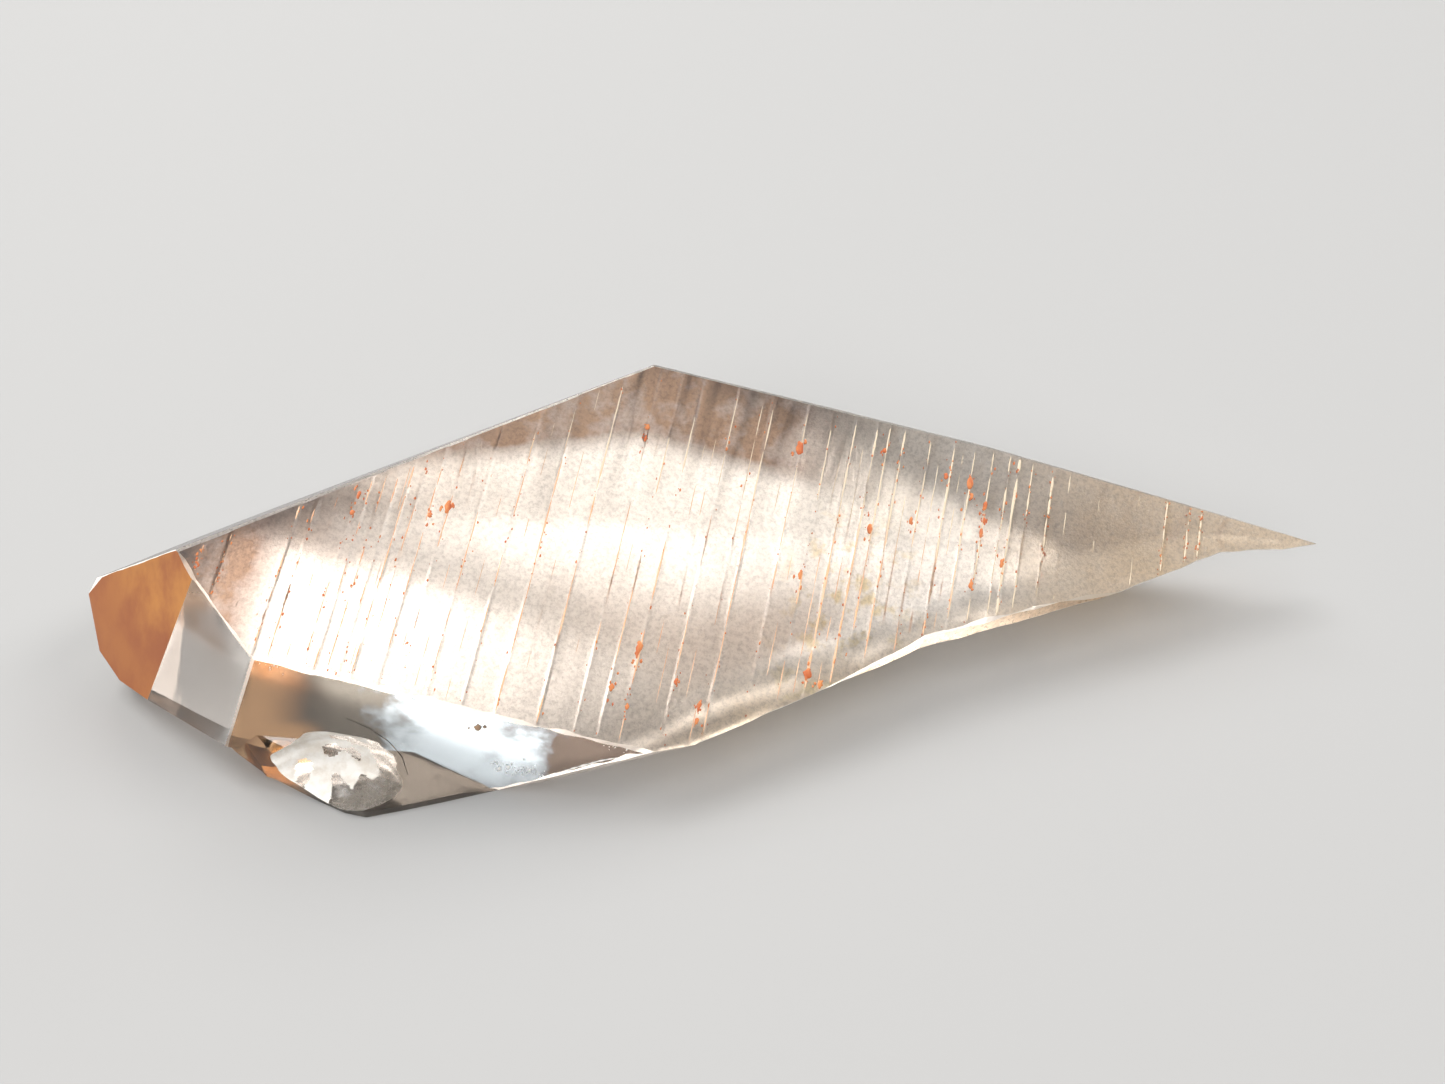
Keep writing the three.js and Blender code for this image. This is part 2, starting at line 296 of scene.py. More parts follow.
class QuartzFinish(PropertyGroup):
    """Colours and finish of the quartz and of the iron on it, with the light and shade painted
    into its clear faces.
    """

    body_colour: colour("Body colour", "What the quartz lets through", (0.92, 0.8, 0.67))
    body_density: measure("Body density", "How fast that builds up, per metre", 22, 0, 500)
    frost: factor("Frost", "Roughness of the frosted prism faces", 0.34)
    pitting: factor("Pitting", "How strongly the frosted faces are pitted", 0.25)
    clear_colour: colour("Clear colour", "Quartz where nothing stains it", (0.98, 0.93, 0.87))
    blush_colour: colour("Blush colour", "Brown of the iron film", (0.105, 0.046, 0.021))
    tan_colour: colour("Tan colour", "Peach tan film towards the point", (0.86, 0.65, 0.43))
    ochre_colour: colour("Ochre colour", "Smudges on the broad face", (0.72, 0.56, 0.28))
    # painted skylight: a blue-white tint that stands for sky seen through the clear front face
    painted_sky_colour: colour("Cool colour", "Middle of the clear front face", (0.48, 0.7, 0.92))
    # painted shade on the clear front face: olive on its left part, dark brown at its right end
    # and low down
    olive_shade_colour: colour("Olive colour", "Left part of that face", (0.032, 0.029, 0.023))
    umber_shade_colour: colour("Umber colour", "Right end of that face", (0.022, 0.014, 0.01))
    stain_colour: colour("Stain colour", "Tan stain at its left end", (0.5, 0.22, 0.075))
    # painted shadow: the clear foot near black where it meets the table
    foot_shade_colour: colour("Foot colour", "Right part of the foot", (0.018, 0.015, 0.012))
    # painted shade: grey over the clear end face, left out along its painted glints
    end_shade_colour: colour("Smoke colour", "Grey of the clear end face", (0.2, 0.215, 0.225))
    rust_colour: colour("Rust colour", "The iron-stained end face", (0.34, 0.1, 0.03))
    rust_light: colour("Light rust", "Orange where the rust is thin", (0.54, 0.22, 0.05))
    bruise_colour: colour("Bruise colour", "Bruised edges and corners", (0.88, 0.85, 0.8))
    bruise_dull: colour("Dull bruise", "Duller tone of the bruises", (0.72, 0.66, 0.58))
    clay_colour: colour("Clay colour", "Clay left in the growth lines", (0.6, 0.5, 0.37))
    clay_dark: colour("Dark clay", "Iron-tinted clay in the lines", (0.72, 0.4, 0.23))
    grain_colour: colour("Hematite colour", "Red of the hematite grains", (0.42, 0.09, 0.02))
    grain_light: colour("Light hematite", "Orange of the thinner grains", (0.55, 0.2, 0.06))
    milk_colour: colour("Milk colour", "White of the milky flecks", (0.95, 0.95, 0.93))
    milk_dull: colour("Dull milk", "Cream tone of the milky flecks", (0.85, 0.84, 0.8))
    dark_colour: colour("Dark colour", "The inclusion and the crack", (0.17, 0.15, 0.14))
    dark_brown: colour("Dark brown", "Brown tone of both", (0.42, 0.26, 0.15))


class QuartzStudio(PropertyGroup):
    """The table and the lamps."""

    table_colour: colour("Table colour", "Plain pale table", (0.32, 0.316, 0.31))
    sky: measure("Room light", "Strength of the even light from all round", 0.2, 0, 5)
    back: power("Back lamp", "Power of the soft lamp behind, to the left", 1.1)
    front: power("Front lamp", "Power of the soft lamp in front", 1.35)
    top: power("Top lamp", "Power of the wide lamp overhead", 0.8)
    side: power("Side lamp", "Power of the soft lamp behind, to the right", 0.32)
    crest: power("Crest lamp", "Power of the soft lamp high up behind", 1.4)
    low: power("Low lamp", "Power of the small low lamp behind", 0.1)
    corner: power("Corner lamp", "Power of the high lamp over the clear end face", 0.42)
    right: power("Right lamp", "Power of the soft lamp past the point", 1.3)


# ---- worked surfaces ----


def smooth(low, high, x):
    """0 below low, 1 above high, and the smooth cubic 3t^2 - 2t^3 between them."""
    t = np.clip((x - low) / (high - low), 0, 1)
    return t * t * (3 - 2 * t)


def waves(a, b, size, seed, count=9):
    """Slow irregular waves, mostly within -1 to 1: the sum of `count` sines across the plane
    of a and b, times 0.8 over the root of their count. Each has a direction, a length near
    `size` and a phase of its own."""
    rng = np.random.default_rng(seed)
    turn = rng.uniform(0, 2 * np.pi, count)
    rate = 2 * np.pi / (size * rng.uniform(0.6, 1.7, count))
    phase = rng.uniform(0, 2 * np.pi, count)
    ways = np.stack([np.cos(turn), np.sin(turn)]) * rate
    a, b = np.broadcast_arrays(a, b)
    total = np.sin(a[..., None] * ways[0] + b[..., None] * ways[1] + phase)
    return total.sum(-1) / np.sqrt(count) * 0.8


def run_on(points, reach=200.0):
    """The points of a bent line with its two end stretches drawn out by `reach`."""
    p = np.array(points, float)
    first = p[0] - (p[1] - p[0]) * reach / (p[1, 0] - p[0, 0])
    last = p[-1] + (p[-1] - p[-2]) * reach / (p[-1, 0] - p[-2, 0])
    return np.vstack([first, p, last])


def groove(x):
    """A rounded groove: (1 - x^2)^2 inside -1..1 and 0 outside it."""
    return np.clip(1 - x * x, 0, None) ** 2


def ruled(u, lines, width):
    """Height of a prism face at u: level stretches between growth lines, stretch i being
    LEDGE sin(LEDGE_TURN i) high, joined by a short smooth ramp across each line."""
    i = np.arange(len(lines))
    step = LEDGE * (np.sin(LEDGE_TURN * (i + 1)) - np.sin(LEDGE_TURN * i))
    ramps = smooth(-width, width, u[:, None] - lines)
    return (ramps * step).sum(1)


def line_depths(lines, seed):
    """How deep each growth line is, from SHALLOWEST to 1, the same each time."""
    share = np.random.default_rng(seed).random(len(lines)) ** SHALLOW_BIAS
    return SHALLOWEST + (1 - SHALLOWEST) * share


def back_off(u):
    """The back face's distance off the axis: a slow bow that runs in to the point."""
    bow = BACK_BOW * (u - BACK_MIDDLE) ** 2
    return BACK_OFF - bow - TAPER * np.clip(u - TAPER_FROM, 0, None)


class Sections:
    """The crystal's cross sections. At a station u along the c axis the section is the
    convex polygon of all (v, w) with v cos(look) + w sin(look) <= height(u) for every face.
    Faces share their stations, and a station is put wherever a face begins or ends."""

    def __init__(self, habit):
        self.habit = habit
        width = habit.line_width
        lines = np.concatenate([BROAD_LINES, BACK_LINES])[:, None] + ACROSS_LINE * width
        knots = [p[0] for _, points, _ in BENT_FACES.values() for p in points]
        plain = np.arange(*STATIONS, habit.station_gap)
        u = np.unique(np.round(np.concatenate([plain, lines.ravel(), knots, [TAPER_FROM]]), 6))
        u = u[np.concatenate([[True], np.diff(u) > CLOSEST_STATIONS])]
        faces = {}  # by name: the way it looks in degrees, its heights, its columns
        nick = LINE_IN_SECTION * habit.line_depth
        for name, (look, columns, lines, seed) in RULED_FACES.items():
            level = back_off(u) if name == "back" else 0
            nicks = groove((u[:, None] - lines) / width) * line_depths(lines, seed)
            height = level + ruled(u, lines, width) - nick * nicks.sum(1)
            faces[name] = look, height, columns
        for name, (look, off, slope, columns) in FLAT_FACES.items():
            faces[name] = look, off + slope * u, columns
        for name, (look, points, columns) in BENT_FACES.items():
            faces[name] = look, np.interp(u, *run_on(points).T), columns
        dip = math.radians(DIP)
        rest = (CORNER_HEIGHT + BELOW - u * math.sin(dip)) / math.cos(dip)
        faces["rest"] = 270 - ROLL, rest, 1
        for k, (one, other) in enumerate(WORN_EDGES):
            look, height, _ = faces[one]
            turn = (faces[other][0] - look + 180) % 360 - 180
            corner = (height + faces[other][1]) / (2 * math.cos(math.radians(turn / 2)))
            swing = WEAR_SWING * waves(u, 0 * u, WEAR_WAVE, WEAR_SEED + k)
            worn = habit.edge_wear * (1 + swing)
            faces[f"worn_at_{k}"] = look + turn / 2, corner - worn, 1
        self.names = list(faces)
        looks, heights, self.columns = zip(*faces.values())
        self.u, self.looks, self.heights = u, np.radians(looks), np.stack(heights, 1)
        self.add_ends()
        self.low, self.high = self.spans(self.heights)

    def spans(self, heights):
        """The stretch of each face's line that the other faces leave: its lowest and its
        highest place s along the line. Face j cuts face i's line where
        s sin(turn) = height j - height i cos(turn), with turn the angle between their looks."""
        turn = self.looks[None, :] - self.looks[:, None]
        cos, sin = np.cos(turn), np.sin(turn)
        reach = heights[:, None, :] - heights[:, :, None] * cos
        with np.errstate(divide="ignore", invalid="ignore"):
            place = reach / sin
        low = np.where(sin < -PARALLEL, place, -np.inf).max(2)
        high = np.where(sin > PARALLEL, place, np.inf).min(2)
        return low, high

    def add_ends(self):
        """Puts a station exactly where each face's stretch shrinks to nothing, by halving."""
        low, high = self.spans(self.heights)
        shown = high > low
        k, i = np.nonzero(shown[1:] != shown[:-1])
        start, end = np.zeros(len(k)), np.ones(len(k))
        step = self.heights[k + 1] - self.heights[k]
        for _ in range(HALVINGS):
            half = (start + end) / 2
            lo, hi = self.spans(self.heights[k] + half[:, None] * step)
            same = (hi > lo)[np.arange(len(k)), i] == shown[k, i]
            start, end = np.where(same, half, start), np.where(same, end, half)
        share = (start + end) / 2
        u = np.concatenate([self.u, self.u[k] + share * (self.u[k + 1] - self.u[k])])
        heights = np.vstack([self.heights, self.heights[k] + share[:, None] * step])
        order = np.argsort(u, kind="stable")
        self.u, self.heights = u[order], heights[order]

    def face(self, name):
        """One face as a grid: station along, share of the way across. The point is
        u along the axis + height out + place across, and the face's relief lifts it straight
        out, fading to nothing at the face's own edges. Returns points and quads."""
        i = self.names.index(name)
        columns = self.columns[i]
        width = self.high[:, i] - self.low[:, i]
        shown = width > NARROWEST
        cell = shown[:-1] | shown[1:]
        q = np.linspace(0, 1, columns + 1)
        width = np.clip(width, 0, None)
        place = self.low[:, i, None] + q * width[:, None]
        place = np.where(np.isfinite(place), place, 0.0)
        u = np.broadcast_to(self.u[:, None], place.shape)
        inside = np.minimum(q, 1 - q) * width[:, None]
        lift = relief(self.habit, name, u, place) * smooth(0, RELIEF_FADE, inside)
        look = self.looks[i]
        off = self.heights[:, i, None] + lift
        points = np.stack([
            u, off * np.cos(look) - place * np.sin(look),
            off * np.sin(look) + place * np.cos(look),
        ], -1)
        at = np.arange(points.shape[0] * (columns + 1)).reshape(-1, columns + 1)
        quads = np.stack([at[:-1, :-1], at[:-1, 1:], at[1:, 1:], at[1:, :-1]], -1)
        return points.reshape(-1, 3), [quads[cell].reshape(-1, 4)]

    def edges_at(self, name, u):
        """The two ends of a face's stretch at stations u."""
        i = self.names.index(name)
        return np.interp(u, self.u, self.low[:, i]), np.interp(u, self.u, self.high[:, i])

    def height_at(self, name, u):
        """A face's height at stations u."""
        return np.interp(u, self.u, self.heights[:, self.names.index(name)])


def line_relief(u, place, lines, width, depth, seed):
    """Growth lines that fade in and out along their length: for each line, a groove across
    u that is its own depth times a slow wave along the line, cut off below zero."""
    own = line_depths(lines, seed)
    phase = np.arange(len(lines)) * LINE_APART
    total = np.zeros_like(place)
    for line, much, turn in zip(lines, own, phase):
        near = np.abs(u[:, 0] - line) <= width
        if near.any():
            s = place[near]
            swell = LINE_MEAN + LINE_SWING * waves(s, s * 0 + turn, SWELL_WAVE, seed, 5)
            much = depth * much * np.clip(swell, 0, LINE_MOST)
            total[near] -= much * groove((u[near] - line) / width)
    return total


def relief(habit, name, u, s):
    """What a face adds to its plane at station u and place s across it. Ruled faces get
    faded growth lines, slow waves and a share of short ones, glassy faces slow waves, and
    broken faces shell-like waves, rings round the place of the blow."""
    if name in RULED_FACES:
        lines, seed = RULED_FACES[name][2:]
        depth = LINE_IN_RELIEF * habit.line_depth
        slow = waves(u, s, SLOW_WAVE, habit.seed + seed)
        short = SHORT_SHARE * habit.waviness * waves(u, s, SHORT_WAVE, habit.seed + seed + 1)
        faded = line_relief(u, s, lines, habit.line_width, depth, seed)
        return faded + habit.waviness * slow + short
    if name in GLASSY_FACES:
        seed, share = GLASSY_FACES[name]
        return share * habit.waviness * waves(u, s, GLASSY_WAVE, habit.seed + seed)
    if name in BROKEN_FACES:
        u0, s0, gap, seed, share = BROKEN_FACES[name]
        push = RING_PUSH * waves(u, s, RING_WAVE, habit.seed + seed)
        away = np.hypot(u - u0, s - s0) + push
        rings = RING_SHARE * np.sin(2 * np.pi * away / gap)
        shell = rings + waves(u, s, SHELL_WAVE, habit.seed + seed + 1)
        return share * habit.break_waves * shell
    return 0 * s


def closed_rings(count, around):
    """The faces that close a stack of rings: quads between neighbouring rings, and triangles
    from each end ring to a point of its own, numbered straight after the rings' points."""
    at = np.arange(count * around).reshape(count, around)
    turned = np.roll(at, -1, 1)
    walls = np.stack([at[:-1], turned[:-1], turned[1:], at[1:]], -1).reshape(-1, 4)
    first, last = np.full((2, around), count * around) + [[0], [1]]
    return walls, np.concatenate([
        np.stack([turned[0], at[0], first], -1), np.stack([at[-1], turned[-1], last], -1),
    ])


def tube(rings):
    """A closed form from rings (ring, place round it, xyz), a profile carried along a path:
    walls between neighbouring rings, and a point in the middle of each end ring."""
    points = np.vstack([rings.reshape(-1, 3), rings[0].mean(0), rings[-1].mean(0)])
    return points, closed_rings(*rings.shape[:2])


def foot_form():
    """The foot under the front face. Along it, from left to right, the rim follows its plan
    and the crest its own line. Up it, the front runs straight from rim to crest and bulges
    out by FOOT_BULGE sin(pi q), with ripples that follow the rim."""
    t, q = (np.linspace(0, 1, count) for count in FOOT_GRID)
    plan, crest = np.array(FOOT_PLAN), np.array(FOOT_CREST)
    x, y = (np.interp(t, np.linspace(0, 1, len(plan)), p) for p in plan.T)
    lip = FOOT_LIP * smooth(0, FOOT_ROUND, t) * smooth(0, FOOT_ROUND, 1 - t)
    top = np.stack([np.interp(t, CREST_SHARE, c) for c in crest.T], -1)[:, None]
    low = np.stack([x, y, lip], -1)[:, None]
    front = low + q[None, :, None] * (top - low)
    slow = waves(front[..., 0], front[..., 2], FOOT_WAVE, FOOT_SEED)
    ripples = np.sin(FOOT_RATE * q + FOOT_PUSH * slow)
    front[..., 1] -= (FOOT_BULGE + FOOT_RIPPLE * ripples) * np.sin(np.pi * q)
    under = np.stack([x, y, np.full_like(t, -BELOW)], -1)[:, None]
    back_low, back_top = under.copy(), top.copy()
    back_low[..., 1] = back_top[..., 1] = FOOT_BACK
    return tube(np.concatenate([back_top, front[:, ::-1], under, back_low], 1))


def chip_form():
    """The shell-shaped chip: a stretched ball whose radius swings by ripples round the place
    where the blow fell, 1 + CHIP_RIPPLE sin(RIPPLE_RATE distance), and by slow waves of
    CHIP_UNEVEN, with the distance on the unit ball."""
    up, round_it = CHIP_GRID
    turn = np.linspace(0, 2 * np.pi, round_it + 1)[:-1]
    rise = np.linspace(-np.pi / 2, np.pi / 2, up + 2)[1:-1, None]
    ball = np.stack([
        np.cos(rise) * np.cos(turn), np.cos(rise) * np.sin(turn),
        np.sin(rise) * np.ones_like(turn),
    ], -1)
    struck = CHIP_STRUCK / np.linalg.norm(CHIP_STRUCK)
    away = np.linalg.norm(ball - struck, axis=-1)
    slow = waves(CHIP_RATE * ball[..., 0], CHIP_RATE * ball[..., 2], CHIP_WAVE, CHIP_SEED)
    ripples = CHIP_RIPPLE * np.sin(RIPPLE_RATE * away + RIPPLE_PUSH * slow)
    radius = 1 + ripples * smooth(RIPPLE_FROM, RIPPLE_WHOLE, away) + CHIP_UNEVEN * slow
    return tube(ball * radius[..., None] * CHIP_RADII + CHIP_CENTRE)


def box_form(low, high):
    """A plain box between two corners."""
    corner = np.array([[x, y, z] for x in (0, 1) for y in (0, 1) for z in (0, 1)])
    points = np.array(low) + corner * (np.array(high) - np.array(low))
    return points, [np.array([
        (0, 1, 3, 2), (4, 6, 7, 5), (0, 4, 5, 1), (2, 3, 7, 6), (0, 2, 6, 4), (1, 5, 7, 3),
    ])]


def spindles(middles, sizes, rounds, turns, uneven, seed):
    """Many small closed spindles at once. Along each one t runs from -1 to 1 and the section
    is an oval whose radii are width and thickness times (1 - t^2)^0.5, swollen by slow
    waves. middles holds the middle of each with the three directions of its face, as
    on_face gives them, and sizes half the length, width and thickness of each."""
    centre, across, along, out = middles
    length, width, thick = (size[:, None] for size in sizes)
    t = np.cos(np.linspace(np.pi, 0, rounds + 2))[1:-1]
    turn = np.arange(turns) * 2 * np.pi / turns
    phase = np.random.default_rng(seed).uniform(0, SWELL_APART, (len(centre), 1, 1))
    swell = np.sqrt(1 - t * t)[:, None] * (1 + uneven * waves(
        SWELL_LENGTH * t[:, None] + phase, np.cos(turn) + phase, SWELL_SIZE, seed + 1
    ))
    ring = (
        (width[..., None] * swell * np.cos(turn))[..., None] * across
        + (thick[..., None] * swell * np.sin(turn))[..., None] * out
    )
    spine = centre[:, None] + (length * t)[..., None] * along
    ends = np.stack([centre - length * along, centre + length * along], 1)
    rings = (spine[:, :, None] + ring).reshape(len(centre), -1, 3)
    points = np.concatenate([rings, ends], 1)
    start = np.arange(len(centre))[:, None, None] * points.shape[1]
    faces = [(part + start).reshape(-1, part.shape[1]) for part in closed_rings(rounds, turns)]
    return points.reshape(-1, 3), faces


def joined(*forms):
    """Several forms (points, arrays of faces) as one."""
    starts = np.cumsum([0, *(len(points) for points, _ in forms)])
    faces = [part + start for (_, parts), start in zip(forms, starts) for part in parts]
    return np.vstack([points for points, _ in forms]), faces


def on_face(sections, name, u, place, lift=0.0):
    """Points of a face at stations u and places across it, with the three directions there:
    across the growth lines, along them and out of the face."""
    look = sections.looks[sections.names.index(name)]
    off = sections.height_at(name, u) + lift
    cos, sin = math.cos(look), math.sin(look)
    points = np.stack([u, off * cos - place * sin, off * sin + place * cos], -1)
    return points, np.array([1.0, 0, 0]), np.array([0, -sin, cos]), np.array([0, cos, sin])


# ---- meshes ----


def laid_down():
    """The grown frame turned into the lying frame: rolled, dipped, raised."""
    turn = Euler((math.radians(ROLL), math.radians(DIP), 0)).to_matrix().to_4x4()
    return Matrix.Translation((0, 0, CORNER_HEIGHT)) @ turn


def framed():
    """The lying frame in mm turned into the frame's own place in metres."""
    x, y = LYING_MIDDLE
    return Matrix.Scale(MM, 4) @ Matrix.Translation((-x, -y, 0))


def placed(points, matrix):
    """Points taken through a 4x4 matrix."""
    m = np.array(matrix)
    return points @ m[:3, :3].T + m[:3, 3]


def face_layer(mesh, name, kind, values):
    """Gives each polygon its own value in a new attribute."""
    layer = mesh.attributes.new(name, kind, "FACE")
    layer.data.foreach_set("value", np.ascontiguousarray(values))


def mesh_of(name, points, faces, kinds=None, merge=0.0):
    """A mesh from points and arrays of faces, with points closer than `merge` joined. kinds
    says which kind of face each polygon is, as one number or one for each."""
    mesh = bpy.data.meshes.new(name)
    mesh.from_pydata(points.tolist(), [], [face for part in faces for face in part.tolist()])
    if kinds is not None:
        kinds = np.broadcast_to(np.asarray(kinds, np.int32), len(mesh.polygons))
        face_layer(mesh, "kind", "INT", kinds)
    if merge:
        bm = bmesh.new()
        bm.from_mesh(mesh)
        loose = [v for v in bm.verts if not v.link_faces]
        bmesh.ops.delete(bm, geom=loose, context="VERTS")
        bmesh.ops.remove_doubles(bm, verts=bm.verts[:], dist=merge)
        bm.to_mesh(mesh)
        bm.free()
    mesh.update()
    return mesh


def open_edges(mesh):
    """How many edges don't have exactly two faces."""
    bm = bmesh.new()
    bm.from_mesh(mesh)
    count = sum(len(e.link_faces) != 2 for e in bm.edges)
    bm.free()
    return count


def shown_object(name, data):
    """An object of a mesh, lamp or camera in the scene."""
    thing = bpy.data.objects.new(name, data)
    bpy.context.scene.collection.objects.link(thing)
    return thing


def carved(blank, *steps):
    """The blank with each (operation, mesh) step carried out by a Boolean, as a new mesh."""
    work = shown_object("blank", blank)
    tools = []
    for operation, mesh in steps:
        tool = shown_object("tool", mesh)
        tools.append(tool)
        cut = work.modifiers.new(operation, "BOOLEAN")
        cut.operation, cut.object, cut.solver = operation, tool, "MANIFOLD"
    seen = work.evaluated_get(bpy.context.evaluated_depsgraph_get())
    mesh = bpy.data.meshes.new_from_object(seen)
    for o in [work, *tools]:
        old = o.data
        bpy.data.objects.remove(o)
        bpy.data.meshes.remove(old)
    return mesh


def finish_mesh(mesh, sharp):
    """Smooth shading, broken where faces meet at more than `sharp` degrees."""
    mesh.polygons.foreach_set("use_smooth", np.ones(len(mesh.polygons), bool))
    mesh.set_sharp_from_angle(angle=math.radians(sharp))
    mesh.update()


# How frosted, how stained, how filmed with iron and how pitted each kind of face is.
FINISH_LAYERS = ("frost", "stained", "film", "pitted")
FACE_FINISH = {
    "broad": (1, 0, 1, 1), "back": (1, 0, 1, 0), "front": (0.22, 0, 0, 0),
    "upper_end": (0.55, 0.15, 0.5, 0.3), "upper_wear": (0.9, 0, 0.1, 1),
    "lower_end": (0.18, 0, 0, 0), "rusty": (1, 1, 0, 0), "front_strip": (0.3, 0.25, 0, 0.3),
    "under_left": (0.4, 0.5, 0, 0.3), "under_corner": (0.25, 0.25, 0, 0.3),
    "under_front": (0.25, 0.15, 0, 0.3), "bevel": (0.9, 0, 0.5, 0.5),
    "chamfer": (0.9, 0.45, 1, 1), "undercut": (0.6, 0, 0.9, 0.3),
    "corner_nick": (0.9, 0, 0, 1), "rest": (0.5, 0, 0.3, 0), "foot": (0.15, 0, 0, 0),
    "chip": (0.7, 0, 0, 0), "worn": (1, 0, 0, 0),
}
CARVED_KINDS = ("foot", "chip", "rest")  # the kinds of face that the carving adds
# the clear faces, whose tints paint light and shade into them
CLEAR_FACES = {"clear_front": "front", "clear_foot": "foot", "clear_end": "lower_end"}
RUST_SLOT, BRUISE_SLOT = 1, 2
PATCH_WAVES = (1.5, 73, 12)  # of the chip's bruised patches: length, seed and how many
PATCH_RIGHT, PATCH_FROM = 0.3, -0.15


def mark_faces(mesh, names):
    """Gives every polygon the finish of its own kind of face, marks the clear faces that
    carry painted shade, painted glints and painted skylight in their tints, and puts the rusty
    face, the bruised rims and patches of the chip in the opaque material slots. The patches are
    where slow waves, less PATCH_RIGHT for each mm right of the chip's middle, are above
    PATCH_FROM."""
    kinds = np.empty(len(mesh.polygons), np.int32)
    mesh.attributes["kind"].data.foreach_get("value", kinds)
    finish = np.array([FACE_FINISH[name.split("_at_")[0]] for name in names], np.float32)
    for layer, values in zip(FINISH_LAYERS, finish.T):
        face_layer(mesh, layer, "FLOAT", values[kinds])
    for layer, face in CLEAR_FACES.items():
        face_layer(mesh, layer, "FLOAT", np.float32(kinds == names.index(face)))
    bruised = {f"worn_at_{WORN_EDGES.index(edge)}" for edge in BRUISED_EDGES} | {"corner_nick"}
    slots = {"rusty": RUST_SLOT, **dict.fromkeys(bruised, BRUISE_SLOT)}
    slot = np.array([slots.get(name, 0) for name in names], np.int32)[kinds]
    middle = np.empty(3 * len(kinds), np.float32)
    mesh.polygons.foreach_get("center", middle)
    x, _, z = middle.reshape(-1, 3).T
    patchy = waves(x, z, *PATCH_WAVES) - PATCH_RIGHT * (x - CHIP_CENTRE[0])
    slot[(kinds == names.index("chip")) & (patchy > PATCH_FROM)] = BRUISE_SLOT
    mesh.polygons.foreach_set("material_index", slot)


# ---- materials ----


QUARTZ_IOR = 1.544
# Roughness: what every face has at least, what the tan corner adds, and each mineral's own.
POLISH, CORNER_ROUGH = 0.015, 0.45
ROUGHNESS = {
    "iron_stain": 0.5, "bruised_quartz": 0.6, "pale_clay": 0.85, "hematite": 0.55,
    "milky_quartz": 0.4, "dark_mineral": 0.5, "pale_table": 0.85,
}
PIT_DEPTH = 0.08  # in mm
EDGE_SLOPE = -0.41  # the top film widens so much for each mm left of the top corner
LOW_EDGE = (0.6, -21.8)  # the lower edge of the broad face: v = slope u + start
CLOUD_MIDDLE, SWEEP = 0.5, 9.0  # how far the cloud pushes the front face's tints, in mm
# The line along which painted glints are left clear in the end face's grey painted shade: its
# swing by the noise, slope, start.
GLINT_SWING, GLINT_SLOPE, GLINT_START = 1.6, -0.9, -17.2

# The noises: scale per mm, detail, roughness and, where one is drawn out, its stretch.
NOISES = {
    "cloud": (0.45, 4, 0.6), "pits": (4.5, 4, 0.75), "grain": (4, 3, 0.8),
    "glints": (1.1, 2, 0.5, (2.2, 0.35, 0.35)), "smudges": (0.9, 3, 0.6),
    "streaks": (0.5, 4, 0.6, (1, 0.6, 0.35)), "wander": (1.3, 4, 0.65),
}
# The zones: the field that each is read from, where it is nothing and where it is full, in
# mm for all but noises, and the shares that it has there where they aren't 0 and 1.
ZONES = {
    # the iron film, strong along the top edge and at the left end, tan towards the point
    # and along the lower edge, and faint in the middle
    "uneven": ("cloud", 0.3, 0.7, 0.9, 1.06),
    "film at left": ("u", -13, -16),
    "film under top edge": ("below top edge", -4.9, -3.4),
    "film near broad face": ("w", -2.5, -0.8, 0.4, 1),
    "film towards point": ("u", 15, 6, 0.2, 1),
    "tan at point": ("u", 16, 27),
    "tan along low edge": ("over low edge", 4.5, 0.5),
    "tan from corner": ("u", 0, 8),
    # the clear front face: blue-white painted skylight, olive and brown painted shade, and the
    # stain that hugs its left end and sweeps down round the chip
    "olive": ("swept", -5.5, -9),
    "umber": ("swept", -3.5, 0),
    "umber low down": ("w", -3.2, -4.4, 0, 0.9),
    "stain at left": ("u", -11.5, -14),
    "stain low down": ("w", -2.4, -3.6),
    "stain round chip": ("u", -10.5, -12.5),
    # the clear end face: grey painted shade, with painted glints left clear down its left side
    # and a tan top corner
    "shade between painted glints": ("glinting", 0.35, -0.1),
    "shade below corner": ("v", -15.6, -17.2),
    "top corner": ("v", -17.4, -15.4),
    # ochre smudges beyond the middle of the broad face
    "smudge left end": ("u", 7, 11),
    "smudge right end": ("u", 17, 13),
    "smudges": ("smudges", 0.5, 0.66),
    "smudges below edge": ("v", -4, -7),
    # dark pits, and how frosted the faces are between them
    "pit shade": ("grain", 0.35, 0.7, 0, -0.5),
    "frosting": ("pits", 0.35, 0.65, 0.8, 1.25),
    # the opaque minerals
    "thin rust": ("streaks", 0.3, 0.65),
    "rust above": ("w", -7, -2.5, 0.35, 1),
    "clay below edge": ("v", -4, -8),
    "clay right end": ("u", 19, 15),
    "clay patches": ("wander", 0.35, 0.65, 0.45, 1),
    "two tones": ("wander", 0.35, 0.65),
}


